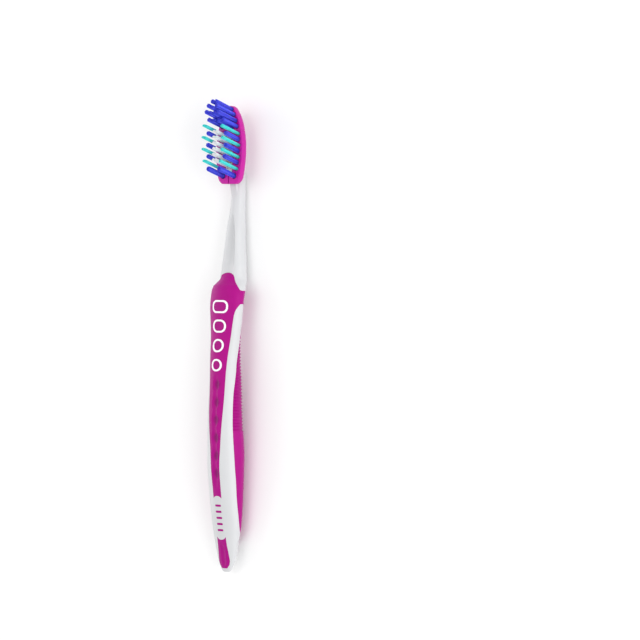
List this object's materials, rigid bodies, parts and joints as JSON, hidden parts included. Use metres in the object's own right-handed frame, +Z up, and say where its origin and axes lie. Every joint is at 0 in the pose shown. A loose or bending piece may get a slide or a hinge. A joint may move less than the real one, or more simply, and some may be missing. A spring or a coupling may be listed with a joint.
{
  "type": "manual toothbrush",
  "caption": "Manual toothbrush with a two-shot soft grip, slim round neck and a head whose two sides flex on soft hinges, with leaning tufts of blue, teal and short white bristles.",
  "frame": {"origin": "on the table under the middle of the brush's box, the brush lying on its back", "axes": "+X along the brush from butt to head, +Z up, the way the bristles point, +Y to the brush's left"},
  "size_m": [0.1912, 0.0158, 0.0214],
  "materials": {
    "white_plastic": "glossy white injection-moulded polypropylene",
    "magenta_plastic": "glossy magenta injection-moulded polypropylene",
    "magenta_soft": "satin magenta soft elastomer",
    "deep_magenta_soft": "satin deep magenta soft elastomer",
    "blue_bristle": "blue nylon filaments",
    "teal_bristle": "teal nylon filaments",
    "white_bristle": "white nylon filaments",
    "staple_brass": "plain metal strip"
  },
  "bodies": {
    "handle": {"centre_staples": "staple_brass", "centre_tuft_row_1": "white_bristle", "centre_tuft_row_2": "white_bristle", "centre_tuft_row_3": "white_bristle", "centre_tuft_row_4": "white_bristle", "centre_tuft_row_5": "white_bristle", "centre_tuft_row_6": "white_bristle", "grip_overmould": "magenta_soft", "handle_core": "white_plastic", "head_tip": "magenta_plastic", "left_hinge": "magenta_soft", "right_hinge": "magenta_soft", "tail_bars": "deep_magenta_soft", "tail_pad": "deep_magenta_soft", "thumb_dot_1": "deep_magenta_soft", "thumb_dot_2": "deep_magenta_soft", "thumb_dot_3": "deep_magenta_soft", "thumb_dot_4": "deep_magenta_soft", "tip_staples": "staple_brass", "tip_tuft_01": "blue_bristle", "tip_tuft_02": "blue_bristle", "tip_tuft_03": "blue_bristle", "tip_tuft_04": "blue_bristle", "tip_tuft_05": "blue_bristle", "tip_tuft_06": "blue_bristle", "tip_tuft_07": "blue_bristle", "tip_tuft_08": "blue_bristle", "tip_tuft_09": "blue_bristle", "tip_tuft_10": "blue_bristle", "tip_tuft_11": "blue_bristle", "tip_tuft_12": "blue_bristle", "tip_tuft_13": "blue_bristle", "tongue_pad": "magenta_soft"},
    "left_wing": {"left_staples": "staple_brass", "left_tuft_1": "teal_bristle", "left_tuft_2": "blue_bristle", "left_tuft_3": "teal_bristle", "left_tuft_4": "blue_bristle", "left_tuft_5": "teal_bristle", "left_tuft_6": "blue_bristle", "left_tuft_7": "teal_bristle", "left_tuft_8": "blue_bristle", "left_wing": "magenta_plastic"},
    "right_wing": {"right_staples": "staple_brass", "right_tuft_1": "teal_bristle", "right_tuft_2": "blue_bristle", "right_tuft_3": "teal_bristle", "right_tuft_4": "blue_bristle", "right_tuft_5": "teal_bristle", "right_tuft_6": "blue_bristle", "right_tuft_7": "teal_bristle", "right_tuft_8": "blue_bristle", "right_wing": "magenta_plastic"}
  },
  "joints": [
    {"name": "left_wing_flex", "type": "hinge", "parent": "handle", "child": "left_wing", "pos_m": [0.0742, 0.0019, 0.008], "axis": [-1, 0, 0], "range_deg": [-4, 12], "stiffness_Nm_per_rad": 0.05},
    {"name": "right_wing_flex", "type": "hinge", "parent": "handle", "child": "right_wing", "pos_m": [0.0742, -0.0019, 0.008], "axis": [1, 0, 0], "range_deg": [-4, 12], "stiffness_Nm_per_rad": 0.05}
  ]
}
